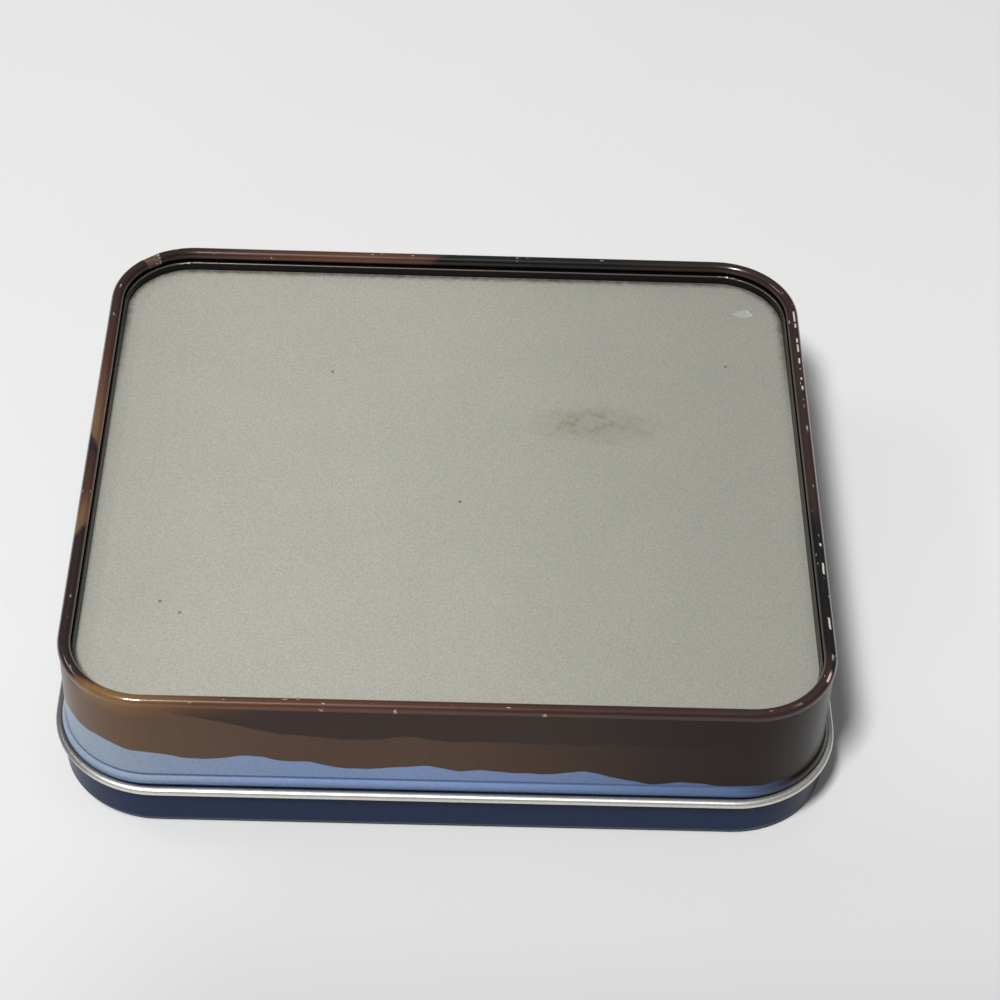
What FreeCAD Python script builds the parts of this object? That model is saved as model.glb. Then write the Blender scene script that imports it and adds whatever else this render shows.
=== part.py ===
"""A shut slip-lid tin, lying on its lid with its base upwards, in millimetres.

Three pieces: the printed body with its rolled rim and stop bead, the base panel that sits
countersunk inside the rim, and the shallow lid that the body stands in.  X runs along the
longer side, Z points up and the origin is at the middle of the lid's face, on the table.
"""

import FreeCAD
import Part
import Sketcher

import math
import os

from FreeCAD import Placement, Rotation, Vector

# alias, value, what it measures (millimetres, and degrees where it says so)
SIZES = (
    ("body_length", 140.0, "body along X, over its rolled rim"),
    ("body_width", 126.1, "body along Y, over its rolled rim"),
    ("total_height", 32.2, "face of the lid to the crown of the rim"),
    ("plate", 0.25, "thickness of the tinplate"),
    ("rim_roll", 2.35, "diameter of the rolled rim"),
    ("rim_corner", 16.2, "corner radius round the outside of the rim"),
    ("rim_proud", 0.1, "rim beyond the wall"),
    ("wall_ease", 0.8, "how much rounder the wall's corners are than the rim's"),
    ("wall_tuck", 0.3, "end of the wall above the middle of the roll that hides it"),
    ("panel_depth", 4.1, "crown of the rim down to the base panel"),
    ("panel_ledge", 0.35, "ledge of the base panel that shows inside the rim"),
    ("panel_slope", 0.3, "lean of the panel's upright edge, from ledge to foot"),
    ("panel_flange", 1.6, "reach of the panel's flange under the rim"),
    ("panel_bend", 0.35, "radius of the panel's bends"),
    ("panel_fit", 0.05, "clearance between the base panel and the body round it"),
    ("bead_radius", 1.5, "radius of the stop bead's section"),
    ("bead_proud", 0.75, "stop bead beyond the wall"),
    ("bead_crease", 0.3, "radius of the creases above and below the stop bead"),
    ("bead_gap", 0.35, "clearance between the stop bead and the lid's curl"),
    ("lid_depth", 10.2, "face of the lid to the top of its curl"),
    ("lid_edge", 1.6, "radius between the lid's face and its skirt"),
    ("lid_fit", 0.44, "clearance between the wall and the lid's skirt"),
    ("lid_ease", 0.63, "how much rounder the lid's corners are than the wall's"),
    ("lid_curl", 1.63, "diameter of the curl on the lid's open edge"),
    ("curl_wrap", 290.0, "how far round the curl is rolled, in degrees"),
    ("seam_width", 3.6, "width of the side seam"),
    ("seam_depth", 0.12, "depth of the side seam"),
    ("seam_bearing", 128.0, "direction of the side seam from the corner's centre, in degrees"),
    ("seam_under", -45.0, "where the side seam starts round the rim's section, in degrees"),
    ("seam_over", 200.0, "where the side seam ends round the rim's section, in degrees"),
)

# Places that more than one piece takes its size from, as expressions of the sheet.
RIM_X = "sizes.body_length / 2"
RIM_Y = "sizes.body_width / 2"
WALL_X = "(sizes.body_length / 2 - sizes.rim_proud)"
WALL_Y = "(sizes.body_width / 2 - sizes.rim_proud)"
ROLL_Z = "(sizes.total_height - sizes.rim_roll / 2)"
WALL_TOP = f"({ROLL_Z} + sizes.wall_tuck)"
WALL_CORNER = "(sizes.rim_corner - sizes.rim_proud + sizes.wall_ease)"
LID_CORNER = f"({WALL_CORNER} + sizes.lid_fit + sizes.lid_ease)"
LEDGE_Z = "(sizes.total_height - sizes.rim_roll - sizes.panel_fit)"
FLOOR_Z = "(sizes.total_height - sizes.panel_depth)"
EDGE_IN = "(sizes.rim_roll + sizes.panel_ledge)"
FLANGE_IN = "(sizes.rim_roll - sizes.panel_flange)"
SKIRT_OUT = "(sizes.lid_fit - sizes.rim_proud)"
CURL_Z = "(sizes.lid_depth - sizes.lid_curl / 2)"
CURL_X = f"({WALL_X} + sizes.lid_fit + sizes.lid_curl / 2)"

doc = FreeCAD.newDocument("slip_lid_tin")


def make_sheet():
    """The spreadsheet that holds every driving size."""
    sheet = doc.addObject("Spreadsheet::Sheet", "sizes")
    for row, (alias, value, meaning) in enumerate(SIZES, start=1):
        sheet.set(f"A{row}", alias.replace("_", " "))
        sheet.set(f"B{row}", str(value))
        sheet.set(f"C{row}", meaning)
        sheet.setAlias(f"B{row}", alias)
    doc.recompute()
    return sheet


SHEET = make_sheet()


def value(expression):
    """What an expression of the sheet comes to now, to draw a sketch near its answer."""
    return float(SHEET.evalExpression(expression))


def make_body(name):
    body = doc.addObject("PartDesign::Body", name)
    body.Label = name
    return body


def new_sketch(body, name, role):
    """An empty sketch on one of the body's own origin planes."""
    sketch = body.newObject("Sketcher::SketchObject", name)
    plane = next(item for item in body.Origin.OriginFeatures if item.Role == role)
    sketch.AttachmentSupport = [(plane, "")]
    sketch.MapMode = "FlatFace"
    return sketch


def bind(sketch, kind, *where_and_expression):
    """Adds a dimension to a sketch and ties it to the sheet."""
    *where, expression = where_and_expression
    index = sketch.addConstraint(Sketcher.Constraint(kind, *where, value(expression)))
    sketch.setExpression(f"Constraints[{index}]", expression)


def rounded_rectangle(body, name, half_x, half_y, corner, height="0"):
    """A level rounded rectangle about the Z axis that starts in the middle of its +X side."""
    sketch = new_sketch(body, name, "XY_Plane")
    hx, hy, r = value(half_x), value(half_y), value(corner)
    cx, cy = hx - r, hy - r
    quarter = math.pi / 2
    right_top = sketch.addGeometry(Part.LineSegment(Vector(hx, 0), Vector(hx, cy)))
    corners, sides = [], []
    runs = (
        ((cx, cy), ((cx, hy), (-cx, hy))),
        ((-cx, cy), ((-hx, cy), (-hx, -cy))),
        ((-cx, -cy), ((-cx, -hy), (cx, -hy))),
        ((cx, -cy), ((hx, -cy), (hx, 0))),
    )
    for turn, (centre, (start, end)) in enumerate(runs):
        circle = Part.Circle(Vector(*centre), Vector(0, 0, 1), r)
        arc = Part.ArcOfCircle(circle, turn * quarter, (turn + 1) * quarter)
        corners.append(sketch.addGeometry(arc))
        sides.append(sketch.addGeometry(Part.LineSegment(Vector(*start), Vector(*end))))
    before = [right_top] + sides[:3]
    for arc, side_in, side_out in zip(corners, before, sides):
        sketch.addConstraint(Sketcher.Constraint("Tangent", side_in, 2, arc, 1))
        sketch.addConstraint(Sketcher.Constraint("Tangent", arc, 2, side_out, 1))
    top, left, bottom, right_low = sides
    sketch.addConstraint(Sketcher.Constraint("Coincident", right_low, 2, right_top, 1))
    sketch.addConstraint(Sketcher.Constraint("PointOnObject", right_top, 1, -1))
    for side in (right_top, left, right_low):
        sketch.addConstraint(Sketcher.Constraint("Vertical", side))
    for side in (top, bottom):
        sketch.addConstraint(Sketcher.Constraint("Horizontal", side))
    for arc in corners[1:]:
        sketch.addConstraint(Sketcher.Constraint("Equal", corners[0], arc))
    bind(sketch, "Radius", corners[0], corner)
    bind(sketch, "DistanceX", -1, 1, right_top, 1, half_x)
    bind(sketch, "DistanceX", left, 1, -1, 1, half_x)
    bind(sketch, "DistanceY", -1, 1, top, 1, half_y)
    bind(sketch, "DistanceY", bottom, 1, -1, 1, half_y)
    if height != "0":
        sketch.setExpression("AttachmentOffset.Base.z", height)
    return sketch


def arc_between(start, end, radius, way, long_way):
    """The arc of a radius from start to end, turning left (way 1) or right (way -1)."""
    chord = end - start
    reach = math.sqrt(max(radius**2 - (chord.Length / 2) ** 2, 0.0))
    side = Vector(-chord.y, chord.x).normalize() * reach * way * (-1 if long_way else 1)
    centre = (start + end) / 2 + side
    first, last = (start, end) if way > 0 else (end, start)
    angles = [math.atan2(p.y - centre.y, p.x - centre.x) for p in (first, last)]
    return Part.ArcOfCircle(Part.Circle(centre, Vector(0, 0, 1), radius), *angles)


def section(body, name, corners):
    """A closed outline in the XZ plane whose corners and radii are tied to the sheet.

    Each corner is (x, z) or (x, z, radius, way, long_way), which starts an arc to the next.
    """
    sketch = new_sketch(body, name, "XZ_Plane")
    places = [Vector(value(corner[0]), value(corner[1])) for corner in corners]
    ends = []
    for corner, start, end in zip(corners, places, places[1:] + places[:1]):
        if len(corner) == 2:
            piece = sketch.addGeometry(Part.LineSegment(start, end))
            ends.append((piece, 1, 2))
            continue
        radius, way, long_way = corner[2:]
        arc = arc_between(start, end, value(radius), way, long_way)
        piece = sketch.addGeometry(arc)
        ends.append((piece, 1, 2) if way > 0 else (piece, 2, 1))
        bind(sketch, "Radius", piece, radius)
    for number, (piece, first, last) in enumerate(ends):
        following, its_first, _ = ends[(number + 1) % len(ends)]
        sketch.addConstraint(Sketcher.Constraint("Coincident", piece, last, following, its_first))
        bind(sketch, "DistanceX", -1, 1, piece, first, corners[number][0])
        bind(sketch, "DistanceY", -1, 1, piece, first, corners[number][1])
    return sketch


def pad(body, name, sketch, length):
    feature = body.newObject("PartDesign::Pad", name)
    feature.Profile = sketch
    feature.setExpression("Length", length)
    return feature


def pocket(body, name, sketch, depth):
    """A pocket from the sketch downwards."""
    feature = body.newObject("PartDesign::Pocket", name)
    feature.Profile = sketch
    feature.setExpression("Length", depth)
    return feature


def sweep(body, name, profile, track):
    """A section carried once round a closed track."""
    feature = body.newObject("PartDesign::AdditivePipe", name)
    feature.Profile = profile
    edges = [f"Edge{number + 1}" for number in range(track.GeometryCount)]
    feature.Spine = (track, edges)
    feature.Mode = "Standard"
    return feature


def fillet(body, name, reach, height, radius):
    """Rounds the smooth closed edge that crosses the XZ plane at a reach and a height."""
    doc.recompute()
    base = body.Tip
    spot = Part.Vertex(Vector(value(reach), 0, value(height)))
    near = [n for n, edge in enumerate(base.Shape.Edges, start=1)
            if edge.distToShape(spot)[0] < 1e-5]
    feature = body.newObject("PartDesign::Fillet", name)
    feature.Base = (base, [f"Edge{near[0]}"])
    feature.setExpression("Radius", radius)
    return feature


def groove(body, name, profile, axis_x, axis_y):
    """Cuts a section, turned about an upright axis, as wide as the side seam."""
    profile.AttachmentOffset = Placement(
        Vector(value(axis_x), 0, -value(axis_y)),
        Rotation(Vector(0, 1, 0), value("sizes.seam_bearing")),
    )
    profile.setExpression("AttachmentOffset.Base.x", axis_x)
    profile.setExpression("AttachmentOffset.Base.z", f"-({axis_y})")
    profile.setExpression("AttachmentOffset.Rotation.Angle", "sizes.seam_bearing")
    feature = body.newObject("PartDesign::Groove", name)
    feature.Profile = profile
    feature.ReferenceAxis = (profile, ["V_Axis"])
    feature.Midplane = True
    feature.setExpression("Angle", "sizes.seam_width / sizes.rim_corner * 180 / pi")
    return feature


def make_wall(body):
    """The upright wall, filled, up into the roll, with the two steps that hold the panel."""
    plan = rounded_rectangle(body, "wall_plan", WALL_X, WALL_Y, WALL_CORNER, "sizes.plate")
    pad(body, "wall", plan, f"{WALL_TOP} - sizes.plate")
    fillet(body, "mouth_edge", WALL_X, "sizes.plate", "sizes.lid_edge")
    steps = (
        ("flange_seat", f"({FLANGE_IN} - sizes.panel_fit)", LEDGE_Z),
        ("panel_seat", f"({EDGE_IN} - sizes.plate - sizes.panel_fit)", FLOOR_Z),
    )
    for name, inset, height in steps:
        outline = rounded_rectangle(
            body, f"{name}_plan", f"{RIM_X} - {inset}", f"{RIM_Y} - {inset}",
            f"sizes.rim_corner - {inset}", WALL_TOP,
        )
        pocket(body, name, outline, f"{WALL_TOP} - ({height} - sizes.plate)")
    seat_lip = f"{RIM_X} - ({EDGE_IN} - sizes.plate - sizes.panel_fit)"
    fillet(body, "seat_lip", seat_lip, f"{LEDGE_Z} - sizes.plate", "sizes.panel_bend")


def make_wall_seam(body):
    """The shallow band of the side seam, down the wall at one corner."""
    inner = f"({WALL_CORNER} - sizes.seam_depth)"
    outer = f"({WALL_CORNER} + sizes.seam_depth)"
    foot = "(sizes.plate + sizes.lid_edge)"
    strip = section(body, "wall_seam_section", (
        (inner, foot), (outer, foot), (outer, WALL_TOP), (inner, WALL_TOP),
    ))
    axis_x = f"({WALL_CORNER} - {WALL_X})"
    axis_y = f"({WALL_Y} - {WALL_CORNER})"
    groove(body, "wall_seam", strip, axis_x, axis_y)


def make_rim(body):
    """The wall's edge rolled inwards, as a round bead all the way along its top."""
    track = rounded_rectangle(body, "rim_track", RIM_X, RIM_Y, "sizes.rim_corner")
    profile = new_sketch(body, "rim_section", "XZ_Plane")
    roll_x = f"({RIM_X} - sizes.rim_roll / 2)"
    circle = Part.Circle(
        Vector(value(roll_x), value(ROLL_Z)), Vector(0, 0, 1), value("sizes.rim_roll / 2")
    )
    profile.addGeometry(circle)
    bind(profile, "Radius", 0, "sizes.rim_roll / 2")
    bind(profile, "DistanceX", -1, 1, 0, 3, roll_x)
    bind(profile, "DistanceY", -1, 1, 0, 3, ROLL_Z)
    sweep(body, "rim", profile, track)


def make_rim_seam(body):
    """The side seam where it runs over the rolled rim."""
    centre = "(sizes.rim_corner - sizes.rim_roll / 2)"
    inner = "(sizes.rim_roll / 2 - sizes.seam_depth)"
    outer = "(sizes.rim_roll / 2 + sizes.seam_depth)"
    start_x, start_z = "cos(sizes.seam_under)", "sin(sizes.seam_under)"
    end_x, end_z = "cos(sizes.seam_over)", "sin(sizes.seam_over)"
    band = section(body, "rim_seam_section", (
        (f"{centre} + {outer} * {start_x}", f"{ROLL_Z} + {outer} * {start_z}", outer, 1, True),
        (f"{centre} + {outer} * {end_x}", f"{ROLL_Z} + {outer} * {end_z}"),
        (f"{centre} + {inner} * {end_x}", f"{ROLL_Z} + {inner} * {end_z}", inner, -1, True),
        (f"{centre} + {inner} * {start_x}", f"{ROLL_Z} + {inner} * {start_z}"),
    ))
    groove(body, "rim_seam", band, f"(sizes.rim_corner - {RIM_X})", f"({RIM_Y} - sizes.rim_corner)")


def make_stop_bead(body):
    """The bead pressed out of the wall, just above the curl that the lid stops with."""
    centre_x = f"({WALL_X} + sizes.bead_proud - sizes.bead_radius)"
    reach = "(sizes.bead_radius + sizes.bead_gap + sizes.lid_curl / 2)"
    centre_z = f"({CURL_Z} + sqrt({reach} ^ 2 - ({CURL_X} - {centre_x}) ^ 2))"
    arms = "(sizes.bead_radius + sizes.bead_crease)"
    across = f"({arms} - sizes.bead_proud)"
    rise = f"sqrt({arms} ^ 2 - {across} ^ 2)"
    meeting_x = f"({centre_x} + {across} * sizes.bead_radius / {arms})"
    meeting_rise = f"({rise} * sizes.bead_radius / {arms})"
    root = f"({WALL_X} - sizes.plate)"
    profile = section(body, "bead_section", (
        (WALL_X, f"{centre_z} - {rise}", "sizes.bead_crease", -1, False),
        (meeting_x, f"{centre_z} - {meeting_rise}", "sizes.bead_radius", 1, False),
        (meeting_x, f"{centre_z} + {meeting_rise}", "sizes.bead_crease", -1, False),
        (WALL_X, f"{centre_z} + {rise}"),
        (root, f"{centre_z} + {rise}"),
        (root, f"{centre_z} - {rise}"),
    ))
    track = rounded_rectangle(body, "bead_track", WALL_X, WALL_Y, WALL_CORNER)
    sweep(body, "stop_bead", profile, track)


def make_tin_body():
    body = make_body("body")
    make_wall(body)
    make_wall_seam(body)
    make_stop_bead(body)
    make_rim(body)
    make_rim_seam(body)
    return body


def make_base_panel():
    """A thin pan: its floor, an upright edge that leans in, and a flange under the rim."""
    body = make_body("base_panel")
    under_ledge = f"({LEDGE_Z} - sizes.plate)"
    under_floor = f"({FLOOR_Z} - sizes.plate)"
    top_x = f"({RIM_X} - {EDGE_IN})"
    foot_x = f"({top_x} - sizes.panel_slope)"
    flange_x = f"({RIM_X} - {FLANGE_IN})"
    floor_in = f"({EDGE_IN} + sizes.panel_slope)"
    plan = rounded_rectangle(
        body, "floor_plan", f"{RIM_X} - {floor_in}", f"{RIM_Y} - {floor_in}",
        f"sizes.rim_corner - {floor_in}", under_floor,
    )
    pad(body, "floor", plan, "sizes.plate")
    lap_x = f"({foot_x} - 2 * sizes.panel_bend)"
    profile = section(body, "edge_section", (
        (lap_x, FLOOR_Z),
        (foot_x, FLOOR_Z),
        (top_x, LEDGE_Z),
        (flange_x, LEDGE_Z),
        (flange_x, under_ledge),
        (f"{top_x} + sizes.plate", under_ledge),
        (f"{foot_x} + sizes.plate", under_floor),
        (lap_x, under_floor),
    ))
    track = rounded_rectangle(body, "edge_track", RIM_X, RIM_Y, "sizes.rim_corner")
    sweep(body, "edge", profile, track)
    inside_bend = "sizes.panel_bend - sizes.plate"
    fillet(body, "shoulder", top_x, LEDGE_Z, "sizes.panel_bend")
    fillet(body, "shoulder_under", f"{top_x} + sizes.plate", under_ledge, inside_bend)
    fillet(body, "foot", foot_x, FLOOR_Z, inside_bend)
    fillet(body, "foot_under", f"{foot_x} + sizes.plate", under_floor, "sizes.panel_bend")
    return body


def make_lid():
    """A drawn dish with a rounded edge, whose open edge is curled outwards."""
    body = make_body("lid")
    inside = (f"{RIM_X} + {SKIRT_OUT}", f"{RIM_Y} + {SKIRT_OUT}", LID_CORNER)
    outside = tuple(f"{size} + sizes.plate" for size in inside)
    pad(body, "blank", rounded_rectangle(body, "skirt_plan", *outside), CURL_Z)
    hollow = rounded_rectangle(body, "hollow_plan", *inside, CURL_Z)
    pocket(body, "hollow", hollow, f"{CURL_Z} - sizes.plate")
    fillet(body, "inner_edge", inside[0], "sizes.plate", "sizes.lid_edge - sizes.plate")
    fillet(body, "outer_edge", outside[0], "0", "sizes.lid_edge")
    outer = "(sizes.lid_curl / 2)"
    inner = "(sizes.lid_curl / 2 - sizes.plate)"
    across, rise = "cos(sizes.curl_wrap)", "sin(sizes.curl_wrap)"
    profile = section(body, "curl_section", (
        (f"{CURL_X} - {outer}", CURL_Z, outer, -1, True),
        (f"{CURL_X} - {outer} * {across}", f"{CURL_Z} + {outer} * {rise}"),
        (f"{CURL_X} - {inner} * {across}", f"{CURL_Z} + {inner} * {rise}", inner, 1, True),
        (f"{CURL_X} - {inner}", CURL_Z),
    ))
    sweep(body, "curl", profile, rounded_rectangle(body, "curl_track", *inside))
    return body


def check(pieces):
    """Stops if anything in the document failed or a piece isn't one valid solid."""
    for item in doc.Objects:
        failed = {"Invalid", "Error"} & set(item.State)
        if failed:
            raise RuntimeError(f"{item.Label}: {sorted(failed)}")
    for piece in pieces:
        shape = piece.Shape
        if shape.isNull() or not shape.isValid() or len(shape.Solids) != 1:
            raise RuntimeError(f"{piece.Label} is not one valid solid")


pieces = [make_tin_body(), make_base_panel(), make_lid()]
doc.recompute()
check(pieces)

os.makedirs("parts", exist_ok=True)
for piece in pieces:
    piece.Shape.exportStep(f"parts/{piece.Label}.step")
    box = piece.Shape.BoundBox
    print(f"{piece.Label}: {box.XLength:.2f} x {box.YLength:.2f} x {box.ZLength:.2f} mm, "
          f"{piece.Shape.Volume:.0f} mm3")
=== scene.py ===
import math

import bpy
from mathutils import Matrix, Vector


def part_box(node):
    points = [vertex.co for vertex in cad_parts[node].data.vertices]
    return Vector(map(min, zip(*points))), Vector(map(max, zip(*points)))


# %% [markdown]
# # A shut slip-lid tin, lying on its lid
#
# The shapes of this tin are already made: a printed body with a rolled rim, a thin base panel set
# into it, and a lid with a bare curl.  This lesson dresses those three metal pieces.  It builds a
# camera, soft light and a pale table, and then three materials: print on tinplate, dull tinplate,
# and navy lacquer that stops at the lid's bare curl.
#
# Blender works in metres.  The metal's finishes are easier to think of in millimetres, so each of
# them starts by scaling its coordinates, and every length in it is a length on the real tin.

# %% Load the tin
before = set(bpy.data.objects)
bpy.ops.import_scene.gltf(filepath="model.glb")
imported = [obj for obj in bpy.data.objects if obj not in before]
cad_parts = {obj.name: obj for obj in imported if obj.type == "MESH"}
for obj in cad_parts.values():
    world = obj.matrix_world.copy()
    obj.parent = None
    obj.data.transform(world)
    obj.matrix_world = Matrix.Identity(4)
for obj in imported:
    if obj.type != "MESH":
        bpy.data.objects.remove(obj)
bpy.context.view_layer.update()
body, panel, lid = (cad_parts[name] for name in ("body", "base_panel", "lid"))
BODY_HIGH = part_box("body")[1]
PANEL_LOW, PANEL_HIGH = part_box("base_panel")
LID_LOW, LID_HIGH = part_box("lid")
MM = 0.001
print("tin from", [round(v, 4) for v in LID_LOW], "to", [round(v, 4) for v in BODY_HIGH])

# %% [markdown]
# ## Camera
#
# A small box looks right through a long lens held some way off, because a short lens would spread
# its near corners.  The camera's turn is built from three plain angles instead of a tracking
# constraint, so that each can be read: how far it looks down, how far it is turned to the right,
# and how far it is tipped about its own line of sight.

# %% Camera
CAMERA_PLACE = Vector((-2.19, -380.95, 393.41)) * MM
LOOK_DOWN = math.radians(44.25)
TURN_RIGHT = math.radians(1.75)
TIP = math.radians(2.68)
LENS_MM = 98.69


def make_camera():
    data = bpy.data.cameras.new("tin_camera")
    data.lens = LENS_MM
    data.sensor_width = 36
    data.clip_start = 0.01
    camera = bpy.data.objects.new("tin_camera", data)
    camera.matrix_world = (
        Matrix.Translation(CAMERA_PLACE)
        @ Matrix.Rotation(-TURN_RIGHT, 4, "Z")
        @ Matrix.Rotation(math.pi / 2 - LOOK_DOWN, 4, "X")
        @ Matrix.Rotation(TIP, 4, "Z")
    )
    bpy.context.scene.collection.objects.link(camera)
    bpy.context.scene.camera = camera


make_camera()
print("camera at", [round(v, 3) for v in CAMERA_PLACE], "lens", LENS_MM, "mm")

# %% [markdown]
# ## Making nodes
#
# A material is a graph of nodes.  It could be wired by hand in the shader editor, or with a line
# of script for every socket.  One small helper saves most of those lines: it makes a node and
# fills its sockets in a single call.  A plain value is set on the socket, and another node's
# output is linked to it.

# %% Making nodes


def fill(tree, socket, value):
    if isinstance(value, bpy.types.NodeSocket):
        tree.links.new(value, socket)
    else:
        socket.default_value = value


def put(tree, kind, inputs=None, **settings):
    """Adds a node, sets its own settings and fills its sockets by name or number."""
    node = tree.nodes.new(kind)
    for name, value in settings.items():
        setattr(node, name, value)
    for key, value in (inputs or {}).items():
        fill(tree, node.inputs[key], value)
    return node


print("made the helpers", fill.__name__, "and", put.__name__)

# %% [markdown]
# ## Sums, steps, mixes and noise
#
# Most of a finish is arithmetic on masks, numbers from 0 to 1 that say where something is.  Two
# masks multiplied give the place where both hold, and the larger of two gives the place where
# either does.  A smooth step turns a distance into a mask with a soft edge, and the two numbers
# that it runs between are often kept as a named pair, which a star unpacks.  A slow noise, taken
# down by a half, swings to both sides of nothing and makes a straight edge uneven.

# %% Sums, steps, mixes and noise


def maths(tree, operation, first, second=0.0):
    return put(tree, "ShaderNodeMath", {0: first, 1: second}, operation=operation).outputs[0]


def times(tree, first, *others):
    for other in others:
        first = maths(tree, "MULTIPLY", first, other)
    return first


def plus(tree, first, *others):
    for other in others:
        first = maths(tree, "ADD", first, other)
    return first


def most(tree, first, *others):
    for other in others:
        first = maths(tree, "MAXIMUM", first, other)
    return first


def smooth(tree, value, low, high):
    """0 at low, 1 at high and a smooth step between; low may be the larger one."""
    inputs = {"Value": value, "From Min": low, "From Max": high}
    node = put(tree, "ShaderNodeMapRange", inputs, interpolation_type="SMOOTHSTEP")
    return node.outputs["Result"]


def mix(tree, mask, below, above, blend="MIX"):
    inputs = {0: mask, 6: below, 7: above}
    node = put(tree, "ShaderNodeMix", inputs, data_type="RGBA", blend_type=blend)
    return node.outputs[2]


def noise(tree, place, scale, detail=2.0, rough=0.5):
    inputs = {"Vector": place, "Scale": scale, "Detail": detail, "Roughness": rough}
    return put(tree, "ShaderNodeTexNoise", inputs).outputs["Fac"]


def wave(tree, place, scale, height):
    """A slow swing of plus and minus half the height."""
    swing = maths(tree, "SUBTRACT", noise(tree, place, scale, 2.5, 0.5), 0.5)
    return times(tree, swing, height)


print("made the helpers", [step.__name__ for step in (maths, smooth, mix, noise, wave)])

# %% [markdown]
# ## Places and colours
#
# Object coordinates stay with the metal when the camera moves.  They come in metres, so they are
# scaled once and then split, because many masks need a single axis.  Colours are picked as they
# look on a screen, from 0 to 255, and turned into the linear values that a shader works with.

# %% Places and colours


def vector(tree, x, y, z):
    return put(tree, "ShaderNodeCombineXYZ", {"X": x, "Y": y, "Z": z}).outputs[0]


def millimetres(tree):
    """The place on the tin in millimetres, and its three parts."""
    place = put(tree, "ShaderNodeTexCoord").outputs["Object"]
    inputs = {0: place, 3: 1 / MM}
    scaled = put(tree, "ShaderNodeVectorMath", inputs, operation="SCALE").outputs[0]
    parts = put(tree, "ShaderNodeSeparateXYZ", {0: scaled}).outputs
    return scaled, parts["X"], parts["Y"], parts["Z"]


def linear(channel):
    channel /= 255
    return channel / 12.92 if channel <= 0.04045 else ((channel + 0.055) / 1.055) ** 2.4


def srgb(red, green, blue):
    return (linear(red), linear(green), linear(blue), 1.0)


print("mid grey 128 is", round(linear(128), 3), "in linear light")

# %% [markdown]
# ## Materials
#
# A material starts from the Principled shader.  Values that are the same all over are set straight
# on its sockets, so that they survive an export.  Only what changes over the surface is linked.
# The metal's finishes also have a little relief, which a bump node turns from a height into a
# normal: the grain of rolled and lacquered sheet is far too fine to be worth any mesh.

# %% Materials
GRAIN_DEPTH = 0.1 * MM


def new_material(name, **values):
    """A material with plain numbers set on its own shader."""
    material = bpy.data.materials.new(name)
    material.use_nodes = True
    shader = material.node_tree.nodes["Principled BSDF"]
    for socket, value in values.items():
        shader.inputs[socket.replace("_", " ")].default_value = value
    return material, material.node_tree, shader


def roughen(tree, shader, height, strength):
    inputs = {"Height": height, "Strength": strength, "Distance": GRAIN_DEPTH}
    fill(tree, shader.inputs["Normal"], put(tree, "ShaderNodeBump", inputs).outputs["Normal"])


def dress(node, material):
    node.data.materials.clear()
    node.data.materials.append(material)
    print(node.name, "wears", material.name, "with", len(material.node_tree.nodes), "nodes")


print("relief of the grain", round(GRAIN_DEPTH / MM, 2), "mm")

# %% [markdown]
# ## The table
#
# The table is a white board with a faint, cloudy unevenness.  Towards its near right it greys a
# little: that is painted shade, because lighting it unevenly instead would change the tin as well.

# %% Table
BOARD_WHITE = srgb(232, 232, 231), srgb(236, 236, 236)
BOARD_SHADE_GREY = srgb(196, 196, 196)
NEAR_SHADE_PART, RIGHT_SHADE_PART = (-0.02, -0.16), (-0.09, -0.03)


def make_board_white():
    material, tree, shader = new_material("white_board", Roughness=0.6)
    place = put(tree, "ShaderNodeTexCoord").outputs["Object"]
    parts = put(tree, "ShaderNodeSeparateXYZ", {0: place}).outputs
    white = mix(tree, noise(tree, place, 14.0, 3.0), *BOARD_WHITE)
    # Painted shade: the board greys towards its near right.
    near = smooth(tree, parts["Y"], *NEAR_SHADE_PART)
    right = plus(tree, times(tree, smooth(tree, parts["X"], *RIGHT_SHADE_PART), 0.6), 0.4)
    fill(tree, shader.inputs["Base Color"], mix(tree, times(tree, near, right), white, BOARD_SHADE_GREY))
    return material


def make_table():
    bpy.ops.mesh.primitive_plane_add(size=6.0, location=(0, 0, 0))
    board = bpy.context.object
    board.name = "table"
    board.data.materials.append(make_board_white())
    return board


table = make_table()
print("table", tuple(round(v, 2) for v in table.dimensions))

# %% [markdown]
# ## The room
#
# Glossy metal shows its surroundings more than its own colour, so the room matters.  It could be
# modelled, but a sky shader is enough: dim at the walls, brighter overhead, and darkest where
# someone stands behind the camera.

# %% Room
ROOM_TOP = 0.30
ROOM_WALLS = 0.11
ROOM_PERSON = 0.05
PERSON_WAY = Vector((0.05, -0.62, 0.78)).normalized()
PERSON_EDGE = 0.86, 0.97
RISE_TO_TOP = 0.35, 0.98


def grey(level):
    return (level, level, level, 1.0)


def make_room():
    world = bpy.data.worlds.new("room")
    world.use_nodes = True
    tree = world.node_tree
    way = put(tree, "ShaderNodeTexCoord").outputs["Generated"]
    height = put(tree, "ShaderNodeSeparateXYZ", {0: way}).outputs["Z"]
    room = mix(tree, smooth(tree, height, *RISE_TO_TOP), grey(ROOM_WALLS), grey(ROOM_TOP))
    towards = put(tree, "ShaderNodeVectorMath", {0: way, 1: PERSON_WAY}, operation="DOT_PRODUCT")
    person = smooth(tree, towards.outputs["Value"], *PERSON_EDGE)
    background = tree.nodes["Background"].inputs["Color"]
    fill(tree, background, mix(tree, person, room, grey(ROOM_PERSON)))
    bpy.context.scene.world = world


make_room()
print("room from", ROOM_WALLS, "at the walls to", ROOM_TOP, "overhead")

# %% [markdown]
# ## The lamp and the window
#
# Most of the light comes from one soft lamp high at the front left: it is small enough to give a
# short shadow with a soft edge on the right, and none in front.  A long window, low on the left,
# draws thin highlights on the rolled edges.  Area lights are used instead of spots because the
# eye reads their reflections as a window.

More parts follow.
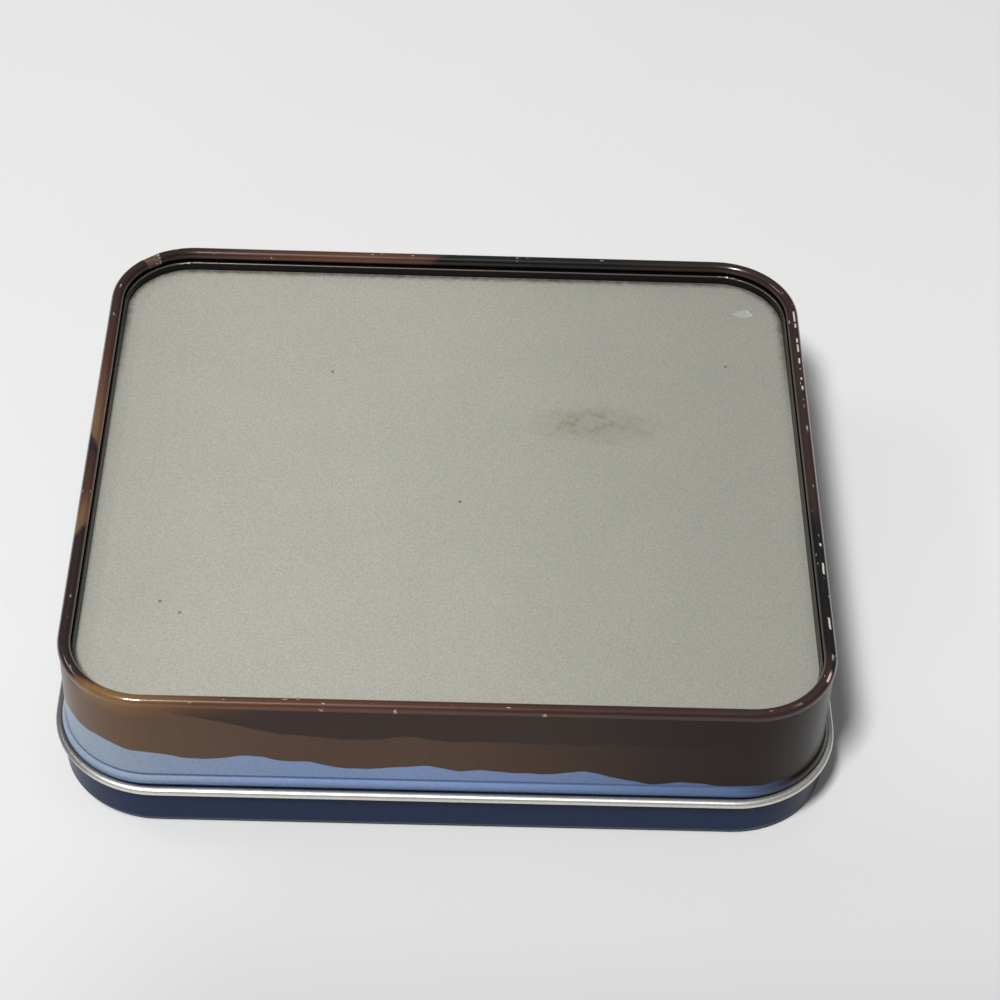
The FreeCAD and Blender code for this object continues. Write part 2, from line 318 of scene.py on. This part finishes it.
# %% Lamp and window
LAMP_WAY = Vector((-0.25, -0.46, 0.92)).normalized()
LAMP_DISTANCE = 2.4
LAMP_SIZE = 0.40
LAMP_POWER = 53.5
WINDOW_PLACE = Vector((-1.0, 0.35, 0.9))
WINDOW_SIZE = 0.5, 0.12
WINDOW_POWER = 1.6


def make_soft_light(name, place, width, height, power):
    data = bpy.data.lights.new(name, "AREA")
    data.shape = "RECTANGLE"
    data.size = width
    data.size_y = height
    data.energy = power
    light = bpy.data.objects.new(name, data)
    light.location = place
    light.rotation_euler = (-place).to_track_quat("-Z", "Y").to_euler()
    bpy.context.scene.collection.objects.link(light)
    return light


lights = [
    make_soft_light("lamp", LAMP_WAY * LAMP_DISTANCE, LAMP_SIZE, LAMP_SIZE, LAMP_POWER),
    make_soft_light("window", WINDOW_PLACE, *WINDOW_SIZE, WINDOW_POWER),
]
bpy.context.scene.view_settings.view_transform = "Standard"
print("lights", [light.name for light in lights])

# %% [markdown]
# ## Shared effects
#
# An effect that several finishes want becomes a node group: a small graph with named inputs and
# outputs, built once, that a material uses like a single node with its own values.  Copying the
# nodes into each material would look the same, but then a change would have to be made in each.

# %% Node groups
FLOAT, VECTOR = "NodeSocketFloat", "NodeSocketVector"


def new_group(name, inputs, outputs):
    """An empty node group with named sockets; each input has a name and its first value."""
    tree = bpy.data.node_groups.new(name, "ShaderNodeTree")
    tree.interface.new_socket("Place", in_out="INPUT", socket_type=VECTOR)
    for label, value in inputs.items():
        socket = tree.interface.new_socket(label, in_out="INPUT", socket_type=FLOAT)
        socket.default_value = value
    for label in outputs:
        tree.interface.new_socket(label, in_out="OUTPUT", socket_type=FLOAT)
    entry = tree.nodes.new("NodeGroupInput").outputs
    leave = tree.nodes.new("NodeGroupOutput").inputs
    return tree, entry, leave


def use(tree, group, **values):
    """Places a group in a material with its own values."""
    node = tree.nodes.new("ShaderNodeGroup")
    node.node_tree = group
    for name, value in values.items():
        fill(tree, node.inputs[name.replace("_", " ")], value)
    return node.outputs


print("made the helpers", new_group.__name__, "and", use.__name__)

# %% [markdown]
# ### Outline distance
#
# The rim, the painted shade at the panel's foot and the lid's curl all follow a rectangle with
# rounded corners.  This group tells how far a point is outside such an outline, seen from above,
# and gives less than nothing inside it.  A bevelled copy of the edge could carry the same mark,
# but a distance needs no mesh and can be read at any depth.

# %% Outline distance


def make_outline_distance():
    first_values = {"Half Length": 70.0, "Half Width": 63.0, "Corner": 16.0}
    tree, entry, leave = new_group("outline_distance", first_values, ("Distance",))
    parts = put(tree, "ShaderNodeSeparateXYZ", {0: entry["Place"]}).outputs
    reach = []
    for axis, half in (("X", "Half Length"), ("Y", "Half Width")):
        straight = maths(tree, "SUBTRACT", entry[half], entry["Corner"])
        reach.append(maths(tree, "SUBTRACT", maths(tree, "ABSOLUTE", parts[axis]), straight))
    squares = [maths(tree, "POWER", most(tree, value, 0.0), 2.0) for value in reach]
    round_part = maths(tree, "SQRT", plus(tree, *squares))
    straight_part = maths(tree, "MINIMUM", most(tree, *reach), 0.0)
    distance = maths(tree, "SUBTRACT", plus(tree, round_part, straight_part), entry["Corner"])
    fill(tree, leave["Distance"], distance)
    return tree


OUTLINE = make_outline_distance()
print("group", OUTLINE.name, "with", len(OUTLINE.nodes), "nodes")

# %% [markdown]
# ### Mottle
#
# Rolled, printed and lacquered sheet all have an uneven look.  The group gives a fine grain for
# the colour, a broad cloud for colour and gloss, and a height for the bump.  The height is the
# grain with a noise four times as fine added to it, so the relief is crisper than the colour.

# %% Mottle


def make_mottle():
    first_values = {"Grain": 1.2, "Cloud": 0.06}
    tree, entry, leave = new_group("mottle", first_values, ("Grain", "Cloud", "Height"))
    grain = noise(tree, entry["Place"], entry["Grain"], 3.0, 0.65)
    tooth = noise(tree, entry["Place"], times(tree, entry["Grain"], 4.0), 2.0, 0.6)
    fill(tree, leave["Grain"], grain)
    fill(tree, leave["Cloud"], noise(tree, entry["Place"], entry["Cloud"], 3.0, 0.55))
    fill(tree, leave["Height"], plus(tree, times(tree, grain, 0.5), tooth))
    return tree


MOTTLE = make_mottle()
print("group", MOTTLE.name, "with", len(MOTTLE.nodes), "nodes")

# %% [markdown]
# ### Chips
#
# Nicks in a print are small, ragged and scattered.  They could be placed by hand, but a Voronoi
# texture does it: each cell has one feature point and a random colour.  A cell is chipped only
# where its random number is under the amount, and the mark's size varies with a second random
# number, so that most of the surface stays clean.  Only the print needs it on this tin.  It is a
# group all the same, to be placed on any other worn finish.

# %% Chips


def make_chips():
    first_values = {"Spacing": 1.0, "Size": 0.3, "Amount": 0.1}
    tree, entry, leave = new_group("chips", first_values, ("Mask",))

    def shift(operation, inputs):
        return put(tree, "ShaderNodeVectorMath", inputs, operation=operation).outputs[0]

    ragged = {"Vector": entry["Place"], "Scale": 3.0, "Detail": 2.0}
    ragged = put(tree, "ShaderNodeTexNoise", ragged).outputs["Color"]
    centred = shift("SUBTRACT", {0: ragged, 1: (0.5, 0.5, 0.5)})
    moved = shift("ADD", {0: entry["Place"], 1: shift("SCALE", {0: centred, 3: 0.5})})
    scale = maths(tree, "DIVIDE", 1.0, entry["Spacing"])
    cells = {"Vector": moved, "Scale": scale}
    cells = put(tree, "ShaderNodeTexVoronoi", cells, voronoi_dimensions="2D").outputs
    dice = put(tree, "ShaderNodeSeparateColor", {0: cells["Color"]}).outputs
    limit = times(tree, entry["Size"], plus(tree, dice["Green"], 0.3), scale)
    near = smooth(tree, cells["Distance"], limit, times(tree, limit, 0.6))
    chosen = maths(tree, "LESS_THAN", dice["Red"], entry["Amount"])
    fill(tree, leave["Mask"], times(tree, near, chosen))
    return tree


CHIPS = make_chips()
print("group", CHIPS.name, "with", len(CHIPS.nodes), "nodes")

# %% [markdown]
# ## Print on the body
#
# The wall and the rim of such a tin are printed flat, before the sheet is bent, so the colours
# run over the roll without a break.  The design here is a plain one of soft hills: a dark band
# under the rim, a brown one, and pale blue down to the lid.  An image texture would need
# unwrapping.  Formulas of height and bearing need none, and stay sharp at any distance.
#
# First come the sizes that the print has to meet.  The body is widest at its stop bead, so the
# half sizes are the bead's, and what is measured in from them starts a little outside the rim.

# %% Sizes of the body, in millimetres
HALF_LENGTH = BODY_HIGH.x / MM
HALF_WIDTH = BODY_HIGH.y / MM
RIM_CORNER = 16.2
TOP = BODY_HIGH.z / MM
RIM_FOOT = TOP - 1.65
BEAD_TOP = 12.6
print("rim foot at", round(RIM_FOOT, 2), "mm, bead's upper edge at", BEAD_TOP, "mm")

# %% [markdown]
# ### Colours of the print
#
# Names of earth, sky and metal are easier to follow in the steps below than numbers are.  The
# browns of the rim run from nearly black to gold, and the wall's own browns are a little greyer.

# %% Colours of the print
MAROON = srgb(46, 29, 28)
PLUM = srgb(54, 36, 33)
UMBER = srgb(76, 47, 35)
RUST = srgb(94, 59, 39)
TAN = srgb(116, 86, 60)
GOLD = srgb(124, 92, 54)
COAL = srgb(14, 14, 14)
BARK = srgb(34, 22, 18)
EARTH_DARK = srgb(53, 38, 31)
EARTH = srgb(82, 60, 46)
EARTH_TAN = srgb(100, 76, 56)
NIGHT = srgb(30, 15, 11)
SKY_PALE = srgb(142, 158, 176)
SKY_BLUE = srgb(124, 146, 187)
SEA_BLUE = srgb(76, 98, 136)
BARE_TIN_AND_GLINT = srgb(214, 200, 188)
SEAM_GREY = srgb(84, 70, 58), srgb(110, 94, 80)
GRAIN_OF_PRINT = srgb(20, 16, 14), srgb(200, 190, 180)
print("sky blue in linear light", [round(v, 3) for v in SKY_BLUE[:3]])

# %% [markdown]
# ### Hill lines
#
# Each hill line is a height on the wall that a slow noise lifts and lowers as it goes round the
# tin.  The noise is read from the place seen from above, so the line stays the same from top to
# foot, and the second line reads it at another level, so the two don't run alongside.  The lower
# line also falls to the right, and the upper one runs out under the rim at the left.

# %% Hill lines
LOW_HILLS, LOW_SWING, LOW_PACE = 16.2, 11.0, 0.045
LOW_SLOPE = -0.03
LOW_FALL, FALLS_BETWEEN = 2.2, (14.0, 40.0)
HIGH_HILLS, HIGH_SWING, HIGH_PACE = 23.0, 9.0, 0.04
HIGH_RISE, RISES_BETWEEN = 7.5, (-24.0, -58.0)


def hill_lines(tree, x, y):
    near = wave(tree, vector(tree, x, y, 0.0), LOW_PACE, LOW_SWING)
    far = wave(tree, vector(tree, x, y, 90.0), HIGH_PACE, HIGH_SWING)
    fall = times(tree, smooth(tree, x, *FALLS_BETWEEN), LOW_FALL)
    low = maths(tree, "SUBTRACT", plus(tree, near, LOW_HILLS, times(tree, x, LOW_SLOPE)), fall)
    rise = times(tree, smooth(tree, x, *RISES_BETWEEN), HIGH_RISE)
    high = plus(tree, far, HIGH_HILLS, rise)
    return low, high


print("hills about", LOW_HILLS, "and", HIGH_HILLS, "mm up")

# %% [markdown]
# ### Wall
#
# The three bands are laid over one another from the lid up, and each is a soft blend itself:
# lighter at the left, darker at the right and in front of the right corner.  On the blue band and
# the bead, the dark in front of the right corner is partly print and partly painted shade.  The
# stop bead is picked out by a thin darker line at its upper edge and a darker lower half, which are
# painted shade on top of the bead's real shading.

# %% Wall
BEAD_SHADE, BEAD_CREASE_SHADE = (BEAD_TOP - 0.5, BEAD_TOP - 1.9), (0.35, 0.1)
CORNER_X, CORNER_Y = (50.0, 66.0), (-35.0, -52.0)


def wall_sky(tree, x, y, z):
    sky = mix(tree, smooth(tree, x, -66.0, -20.0), SKY_PALE, SKY_BLUE)
    sky = mix(tree, smooth(tree, x, -10.0, 70.0), sky, SEA_BLUE)
    # Painted shade: the bead's lower half is darker, with a dark line along its upper crease.
    sky = mix(tree, smooth(tree, z, *BEAD_SHADE), sky, SEA_BLUE)
    off_bead_top = maths(tree, "ABSOLUTE", maths(tree, "SUBTRACT", z, BEAD_TOP))
    sky = mix(tree, smooth(tree, off_bead_top, *BEAD_CREASE_SHADE), sky, SEA_BLUE)
    # Partly print and partly painted shade: dark in front of the right corner.
    near_corner = times(tree, smooth(tree, x, *CORNER_X), smooth(tree, y, *CORNER_Y))
    return mix(tree, near_corner, sky, NIGHT)


def wall_colours(tree, x, y, z):
    low, high = hill_lines(tree, x, y)
    earth = mix(tree, smooth(tree, x, -70.0, -20.0), EARTH_TAN, EARTH)
    front = plus(tree, times(tree, smooth(tree, y, 25.0, -45.0), 0.75), 0.25)
    earth = mix(tree, times(tree, front, smooth(tree, x, -10.0, 55.0)), earth, NIGHT)
    dark = mix(tree, smooth(tree, x, 12.0, 50.0), EARTH_DARK, NIGHT)
    over_low = smooth(tree, maths(tree, "SUBTRACT", z, low), -0.08, 0.08)
    over_high = smooth(tree, maths(tree, "SUBTRACT", z, high), -0.12, 0.12)
    return mix(tree, over_high, mix(tree, over_low, wall_sky(tree, x, y, z), earth), dark)


print("wall bands", ["sky", "earth", "dark"])

# %% [markdown]
# ### Rim
#
# The rim takes its colours by bearing, the angle round the upright axis, through a colour ramp
# whose stops are in turns.  Two stops close together make a sharp edge, and two far apart a soft
# one.  The fields meet at a slant, so the bearing is shifted a little by how far in a point lies.

# %% Rim
RIM_FIELDS = (
    (0.000, PLUM), (0.030, UMBER), (0.044, TAN), (0.051, TAN), (0.053, MAROON), (0.106, MAROON),
    (0.111, GOLD), (0.125, GOLD), (0.150, RUST), (0.250, UMBER), (0.330, PLUM), (0.386, PLUM),
    (0.395, COAL), (0.455, COAL), (0.470, PLUM), (0.560, PLUM), (0.605, MAROON), (0.640, BARK),
    (0.660, COAL), (0.746, COAL), (0.751, UMBER), (0.790, RUST), (0.835, UMBER), (0.860, BARK),
    (0.890, PLUM), (0.930, UMBER), (0.968, TAN), (0.981, TAN), (0.983, MAROON),
)
SLANT = 0.0034
SLANT_BACK = 0.0083
GOLD_STARTS, GOLD_ENDS, GOLD_RUNS = (0.09, 0.11), (0.18, 0.14), 3.6


def field_ramp(tree, where, fields):
    node = put(tree, "ShaderNodeValToRGB", {"Fac": where})
    points = node.color_ramp.elements
    points.remove(points[1])
    points[0].position, points[0].color = fields[0]
    for position, colour in fields[1:]:
        points.new(position).color = colour
    return node.outputs["Color"]


def rim_colours(tree, place, turns, inset):
    other_way = times(tree, smooth(tree, turns, 0.07, 0.10), SLANT_BACK)
    slant = times(tree, inset, maths(tree, "SUBTRACT", SLANT, other_way))
    uneven = plus(tree, slant, wave(tree, place, 0.5, 0.004))
    return field_ramp(tree, plus(tree, turns, uneven), RIM_FIELDS)


def rim_mask(tree, turns, z, on_rim):
    """The rim, and the wall just below it where the gold runs down."""
    gold_part = times(tree, smooth(tree, turns, *GOLD_STARTS), smooth(tree, turns, *GOLD_ENDS))
    return most(tree, on_rim, times(tree, gold_part, smooth(tree, z, RIM_FOOT - GOLD_RUNS, RIM_FOOT)))


print(len(RIM_FIELDS), "stops round the rim")

# %% [markdown]
# ### Side seam
#
# The wall is one strip of sheet, and its ends are joined at the far left corner.  The shallow band
# that the joint leaves is in the mesh.  Its finish lies between two bearings about that corner's
# own centre, where the print is rubbed to a dull brown, with a frayed edge of bare tin on one side.

# %% Side seam
SEAM_CENTRE = (-53.8, 46.85)
SEAM_BEARING = 128.0
SEAM_HALF = 6.4


def seam_masks(tree, place, x, y):
    east = maths(tree, "SUBTRACT", x, SEAM_CENTRE[0])
    north = maths(tree, "SUBTRACT", y, SEAM_CENTRE[1])
    bearing = times(tree, maths(tree, "ARCTAN2", north, east), 180 / math.pi)
    off_seam = maths(tree, "ABSOLUTE", maths(tree, "SUBTRACT", bearing, SEAM_BEARING))
    off_edge = maths(tree, "SUBTRACT", bearing, SEAM_BEARING - SEAM_HALF)
    torn = smooth(tree, noise(tree, place, 2.2, 3.0), 0.44, 0.56)
    frayed = times(tree, smooth(tree, maths(tree, "ABSOLUTE", off_edge), 1.6, 0.3), torn)
    return smooth(tree, off_seam, SEAM_HALF + 0.3, SEAM_HALF - 0.3), frayed


print("seam at", SEAM_BEARING, "degrees, half as wide as", SEAM_HALF)

# %% [markdown]
# ### Knocks and painted glints on the roll
#
# A roll that stands proud takes the knocks.  This one has a broken row of pale dashes along the
# crown of its right side, flakes on the outer edge there, and tiny nicks all round.  The dashes
# and flakes are partly worn-through print and partly a painted highlight, broken up by dents.  The
# dashes come from a noise that is read along the roll only, cut to a narrow band, so they lie
# lengthwise.

# %% Knocks and painted glints on the roll
TURN_TO_LENGTH = 22.0
DASH_BAND = 1.35, 1.45, 1.7, 1.8
RIGHT_SIDE = 60.0, 68.0
DASHES_THICKEN, DASHES_END = (25.0, 29.0), (50.0, 46.0)
FLAKES_START, FLAKES_END = (-6.0, 0.0), (38.0, 32.0)


def roll_dashes_and_glints(tree, along, inset, y):
    length = vector(tree, along, 4.9, 8.1)
    start, inner, outer, end = DASH_BAND
    drift = plus(tree, inset, wave(tree, length, 0.9, 0.4))
    crown = times(tree, smooth(tree, drift, start, inner), smooth(tree, drift, end, outer))
    marks = smooth(tree, noise(tree, length, 1.7, 3.0), 0.50, 0.54)
    spells = smooth(tree, noise(tree, length, 0.4, 1.0), 0.5, 0.54)
    spells = most(tree, spells, smooth(tree, y, *DASHES_THICKEN))
    return times(tree, crown, marks, spells, smooth(tree, y, *DASHES_END))


def roll_flakes_and_glints(tree, strip, inset, y, z):
    edge = smooth(tree, plus(tree, inset, wave(tree, strip, 2.6, 0.7)), 0.7, 0.55)
    above = smooth(tree, z, TOP - 0.9, TOP - 0.7)
    return times(tree, edge, above, smooth(tree, y, *FLAKES_START), smooth(tree, y, *FLAKES_END))


def bare_marks_and_glints(tree, bearing, inset, x, y, z, on_rim):
    along = times(tree, bearing, TURN_TO_LENGTH)
    strip = vector(tree, along, inset, z)
    right_side = smooth(tree, x, *RIGHT_SIDE)
    # Dashes and flakes: partly worn print, partly painted highlight.
    dashes = times(tree, roll_dashes_and_glints(tree, along, inset, y), right_side, on_rim)
    flakes = times(tree, roll_flakes_and_glints(tree, strip, inset, y, z), right_side)
    nicks = use(tree, CHIPS, Place=strip, Spacing=0.7, Size=0.1, Amount=0.12)["Mask"]
    return most(tree, dashes, flakes, times(tree, nicks, on_rim, 0.6))


print("dashes lie", DASH_BAND[1], "to", DASH_BAND[2], "mm inside the bead's outline")

# %% [markdown]
# ### Printed tinplate
#
# Now the parts come together.  The fine grain is laid over the colours, then the seam's rubbed
# band and the bare marks, some of which are also a painted highlight.  The varnish of the roll is
# glossy, and duller where print is missing, so the clear coat follows the same masks as the
# colour.  The bare marks are also pressed in a little, because a chip has no thickness of print
# left.

# %% Printed tinplate
ROLL_VARNISH = 0.9
BEAD_VARNISH = 0.4


def varnish_mask(tree, z, matt):
    roll = smooth(tree, z, TOP - 1.4, TOP - 1.0)
    bead = times(tree, smooth(tree, z, BEAD_TOP + 0.2, BEAD_TOP - 0.1), BEAD_VARNISH)
    worn = maths(tree, "SUBTRACT", ROLL_VARNISH, times(tree, matt, ROLL_VARNISH))
    return times(tree, most(tree, roll, bead), worn)


def make_print():
    material, tree, shader = new_material(
        "printed_tinplate", Specular_IOR_Level=0.2, Coat_Roughness=0.09
    )
    place, x, y, z = millimetres(tree)
    outline = {"Half_Length": HALF_LENGTH, "Half_Width": HALF_WIDTH, "Corner": RIM_CORNER}
    inset = times(tree, use(tree, OUTLINE, Place=place, **outline)["Distance"], -1.0)
    mottle = use(tree, MOTTLE, Place=place, Grain=1.6, Cloud=0.08)
    grain = smooth(tree, mottle["Grain"], 0.3, 0.7)
    bearing = maths(tree, "ARCTAN2", y, x)
    turns = plus(tree, maths(tree, "DIVIDE", bearing, math.tau), 0.5)
    on_rim = smooth(tree, z, RIM_FOOT - 0.05, RIM_FOOT + 0.05)
    seam, frayed = seam_masks(tree, place, x, y)
    marks = bare_marks_and_glints(tree, bearing, inset, x, y, z, on_rim)
    bare = most(tree, marks, times(tree, frayed, on_rim, 0.5))
    matt = most(tree, seam, bare)

    rim = rim_colours(tree, place, turns, inset)
    colour = wall_colours(tree, x, y, z)
    colour = mix(tree, rim_mask(tree, turns, z, on_rim), colour, rim)
    colour = mix(tree, 0.12, colour, mix(tree, grain, *GRAIN_OF_PRINT), "OVERLAY")
    colour = mix(tree, times(tree, seam, 0.85), colour, mix(tree, grain, *SEAM_GREY))
    # Pale tin colour: worn marks, and on the right side of the rim partly a painted highlight.
    fill(tree, shader.inputs["Base Color"], mix(tree, bare, colour, BARE_TIN_AND_GLINT))
    fill(tree, shader.inputs["Coat Weight"], varnish_mask(tree, z, matt))
    gloss = plus(tree, times(tree, mottle["Cloud"], 0.1), 0.24)
    fill(tree, shader.inputs["Roughness"], plus(tree, gloss, times(tree, matt, 0.3)))
    pressed_in = maths(tree, "SUBTRACT", mottle["Height"], times(tree, bare, 2.0))
    roughen(tree, shader, pressed_in, 0.08)
    return material


dress(body, make_print())

# %% [markdown]
# ## Tinplate of the base panel
#
# Bare tinplate is steel with a thin coat of tin.  Rolled and lightly oxidised, it is half mirror
# and half matt, so the shader is only partly metallic: a fully metallic one would show the dark
# room and little else.  Its fine grain is speckled grey and yellow.  Towards the right, and a
# little at the left edge, it is darker: that is painted shade.

# %% Steel
STEEL = srgb(194, 194, 185), srgb(197, 196, 185)
STEEL_GREY, STEEL_YELLOW = srgb(168, 170, 168), srgb(222, 219, 196)
PANEL_SHADE = srgb(112, 112, 106)
SHADE_RIGHT, SHADE_RIGHT_AMOUNT = (-28.0, 66.0), 0.30
SHADE_LEFT, SHADE_LEFT_AMOUNT = (-45.0, -66.0), 0.08


def steel_colours(tree, x, grain, cloud):
    steel = mix(tree, cloud, *STEEL)
    speckle = [mix(tree, 0.4, steel, tint) for tint in (STEEL_GREY, STEEL_YELLOW)]
    # Painted shade: darker towards the right and a little at the left edge.
    right = times(tree, smooth(tree, x, *SHADE_RIGHT), SHADE_RIGHT_AMOUNT)
    left = times(tree, smooth(tree, x, *SHADE_LEFT), SHADE_LEFT_AMOUNT)
    return mix(tree, plus(tree, right, left), mix(tree, grain, *speckle), PANEL_SHADE)


print("steel, with a grain of grey and yellow")

# %% [markdown]
# ### Marks on the panel
#
# This panel has a faint brown smear, a pale scrape and a few dark specks, each placed in
# millimetres from the middle.  All of them start as an ellipse: the distance from its middle,
# counted in its own half widths.  A noise added to the distance tears the scrape's edge, and a
# noise multiplied with the mask makes the smear blotchy.

# %% Marks on the panel
SMEAR_AT, SMEAR_REACH = (28.2, 15.8), (14.5, 6.5)
SCRAPE_AT, SCRAPE_REACH = (59.2, 50.4), (1.9, 1.3)
SPECKS = ((-52.9, -34.9), (-49.1, -37.6), (-24.3, 29.4), (1.6, -6.9), (54.7, 34.0))
SPECK_REACH = (0.45, 0.45)
SMEAR_BROWN, SPECK_BROWN = srgb(140, 128, 102), srgb(70, 64, 56)
SCRAPED, SCRAPE_LIP = srgb(208, 208, 202), srgb(232, 232, 228)


def spot(tree, x, y, at, reach):
    """The distance from a spot's middle, as a share of its reach."""
    squares = []
    for value, middle, size in zip((x, y), at, reach):
        side = maths(tree, "DIVIDE", maths(tree, "SUBTRACT", value, middle), size)
        squares.append(maths(tree, "POWER", maths(tree, "ABSOLUTE", side), 2.0))
    return maths(tree, "SQRT", plus(tree, *squares))


def add_smear(tree, steel, place, x, y):
    blotch = smooth(tree, noise(tree, place, 0.35, 4.0, 0.65), 0.40, 0.74)
    blotch = plus(tree, times(tree, blotch, 0.75), 0.25)
    smear = smooth(tree, spot(tree, x, y, SMEAR_AT, SMEAR_REACH), 1.1, 0.3)
    return mix(tree, times(tree, smear, blotch, 0.65), steel, SMEAR_BROWN)


def add_scrape(tree, steel, place, x, y):
    torn = plus(tree, spot(tree, x, y, SCRAPE_AT, SCRAPE_REACH), wave(tree, place, 0.9, 1.6))
    scrape = smooth(tree, torn, 1.0, 0.85)
    middle = SCRAPE_AT[0]
    lip = times(tree, smooth(tree, torn, 0.75, 0.85), smooth(tree, x, middle, middle + 0.8))
    steel = mix(tree, times(tree, scrape, 0.55), steel, SCRAPED)
    return mix(tree, times(tree, scrape, lip), steel, SCRAPE_LIP)


def add_specks(tree, steel, x, y):
    for at in SPECKS:
        speck = smooth(tree, spot(tree, x, y, at, SPECK_REACH), 1.0, 0.5)
        steel = mix(tree, times(tree, speck, 0.6), steel, SPECK_BROWN)
    return steel


print("one smear, one scrape and", len(SPECKS), "specks")

# %% [markdown]
# ### Painted shade in the recess
#
# The panel is sunk into the rim, and it turns up at the edge.  The foot of that upright follows
# the body's outline a few millimetres further in, so the outline group finds it.  Painted shade
# makes a soft fade on the flat near the foot, heavier along the far side.  The upright itself is
# nearly black, and only the bend at its top is lighter, a painted highlight.

# %% Painted shade in the recess
FOOT_IN = 3.0
FAR_SIDE = 15.0, 52.0
PANEL_FLOOR = PANEL_LOW.z / MM + 0.25
LEDGE = PANEL_HIGH.z / MM
FOOT_SHADE, UPRIGHT_BLACK, LEDGE_HIGHLIGHT_GREY = srgb(40, 35, 31), srgb(16, 13, 12), srgb(98, 90, 85)


def add_foot_shade(tree, steel, place, y):
    sizes = {"Half_Length": HALF_LENGTH, "Half_Width": HALF_WIDTH, "Corner": RIM_CORNER}
    sizes = {name: size - FOOT_IN for name, size in sizes.items()}
    foot = use(tree, OUTLINE, Place=place, **sizes)["Distance"]
    # Painted shade: a soft fade on the flat near the foot of the upright.
    ragged = plus(tree, foot, wave(tree, place, 0.8, 1.2))
    far_side = plus(tree, times(tree, smooth(tree, y, *FAR_SIDE), 0.75), 0.12)
    return mix(tree, times(tree, smooth(tree, ragged, -2.4, -0.3), far_side), steel, FOOT_SHADE)


def add_upright(tree, steel, upright, z):
    over_foot = smooth(tree, z, LEDGE - 0.26, LEDGE - 0.14)
    # Painted highlight: the bend at the top of the upright is a lighter grey.
    bend = times(tree, over_foot, smooth(tree, z, LEDGE, LEDGE - 0.04))
    return mix(tree, upright, steel, mix(tree, bend, UPRIGHT_BLACK, LEDGE_HIGHLIGHT_GREY))


print("panel floor at", round(PANEL_FLOOR, 2), "mm, ledge at", round(LEDGE, 2), "mm")

# %% [markdown]
# ### Dull tinplate
#
# The layers are added one over another: the sheet, its marks and then the painted shade at the
# foot.  The dark upright comes last, because it covers all of them, and it is a little glossier
# than the flat.

# %% Dull tinplate


def make_tinplate():
    material, tree, shader = new_material("dull_tinplate", Metallic=0.35, Specular_IOR_Level=0.3)
    place, x, y, z = millimetres(tree)
    mottle = use(tree, MOTTLE, Place=place, Grain=2.2, Cloud=0.05)
    cloud = smooth(tree, mottle["Cloud"], 0.3, 0.7)
    upright = smooth(tree, z, PANEL_FLOOR + 0.02, PANEL_FLOOR + 0.12)
    steel = steel_colours(tree, x, smooth(tree, mottle["Grain"], 0.3, 0.7), cloud)
    steel = add_smear(tree, steel, place, x, y)
    steel = add_scrape(tree, steel, place, x, y)
    steel = add_specks(tree, steel, x, y)
    steel = add_foot_shade(tree, steel, place, y)
    fill(tree, shader.inputs["Base Color"], add_upright(tree, steel, upright, z))
    rough = plus(tree, times(tree, cloud, 0.05), 0.40)
    rough = maths(tree, "SUBTRACT", rough, times(tree, upright, 0.2))
    fill(tree, shader.inputs["Roughness"], rough)
    roughen(tree, shader, mottle["Height"], 0.08)
    return material


dress(panel, make_tinplate())

# %% [markdown]
# ## Navy lacquer and the bare curl of the lid
#
# The lid's skirt is lacquered navy.  Its edge is curled outwards, and on the curl the sheet shows
# its bare, bright back.  Two materials would need the faces picked by hand.  One material does
# both: the curl is where the sheet stands out from the skirt, or lies above it.  There it turns
# metallic, and on the left it is painted darker, a painted reflection of the dim room.

# %% Navy lacquer and the bare curl
LID_TOP = LID_HIGH.z / MM
CURL_OUT = 1.38
LID_CORNER = 18.2
NAVY = srgb(24, 38, 66), srgb(30, 44, 74)
SILVER = srgb(212, 210, 203), srgb(226, 224, 217)
CURL_SHADE_GREY = srgb(112, 114, 116)
SHADED_END = -60.0, -71.0


def curl_mask(tree, place, z):
    length, width = LID_HIGH.x / MM - CURL_OUT, LID_HIGH.y / MM - CURL_OUT
    outline = {"Half_Length": length, "Half_Width": width, "Corner": LID_CORNER}
    out_of_skirt = smooth(tree, use(tree, OUTLINE, Place=place, **outline)["Distance"], 0.12, 0.2)
    return most(tree, out_of_skirt, smooth(tree, z, LID_TOP - 0.85, LID_TOP - 0.75))


def make_lid_finish():
    material, tree, shader = new_material("navy_lacquer", Specular_IOR_Level=0.14)
    place, x, y, z = millimetres(tree)
    mottle = use(tree, MOTTLE, Place=place, Grain=1.6, Cloud=0.05)
    grain = smooth(tree, mottle["Grain"], 0.3, 0.7)
    bare = curl_mask(tree, place, z)
    # Painted reflection: the curl is darker at its left end.
    shaded_left = times(tree, smooth(tree, x, *SHADED_END), 0.8)
    silver = mix(tree, shaded_left, mix(tree, grain, *SILVER), CURL_SHADE_GREY)
    colour = mix(tree, bare, mix(tree, grain, *NAVY), silver)
    fill(tree, shader.inputs["Base Color"], colour)
    fill(tree, shader.inputs["Metallic"], times(tree, bare, 0.85))
    fill(tree, shader.inputs["Roughness"], plus(tree, times(tree, bare, 0.08), 0.30))
    roughen(tree, shader, mottle["Height"], 0.05)
    return material


dress(lid, make_lid_finish())
